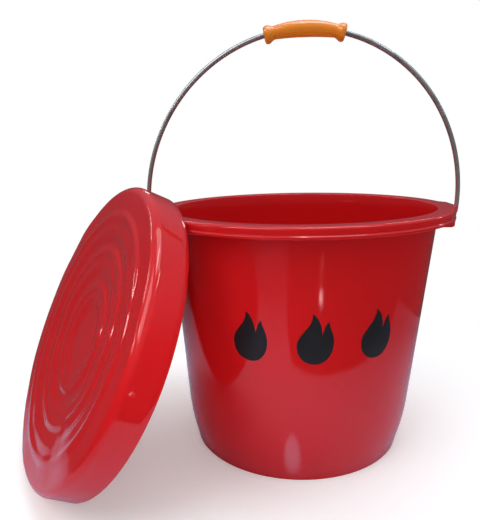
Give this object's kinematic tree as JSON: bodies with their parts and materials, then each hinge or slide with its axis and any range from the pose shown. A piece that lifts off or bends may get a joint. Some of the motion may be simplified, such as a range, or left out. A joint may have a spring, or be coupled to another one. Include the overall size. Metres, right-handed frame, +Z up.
{
  "type": "fire bucket",
  "caption": "Red moulded fire bucket with a wire bail and grip, its round ringed lid leaning against the rim.",
  "frame": {"origin": "centre of the bucket's flat base, at the floor", "axes": "+Z up along the bucket's axis, X along the bail's pivot axis, the marked front faces -Y"},
  "size_m": [0.474, 0.3836, 0.4181],
  "materials": {
    "bucket_plastic": "glossy red polypropylene",
    "lid_plastic": "glossy red polypropylene",
    "bail_steel": "bright drawn wire",
    "grip_plastic": "semi-gloss orange plastic",
    "mark_film": "black self-adhesive film"
  },
  "bodies": {
    "bucket": {"bucket": "bucket_plastic", "flame_mark_left": "mark_film", "flame_mark_middle": "mark_film", "flame_mark_right": "mark_film"},
    "bail": {"bail_wire": "bail_steel", "grip": "grip_plastic"},
    "lid": {"lid": "lid_plastic"}
  },
  "joints": [
    {"name": "bail_swing", "type": "hinge", "parent": "bucket", "child": "bail", "pos_m": [0, 0, 0.2475], "axis": [1, 0, 0], "range_deg": [-118, 18]},
    {"name": "lid_lift", "type": "slide", "parent": "bucket", "child": "lid", "axis": [0, 0, 1], "range_m": [0, 0.3]}
  ]
}
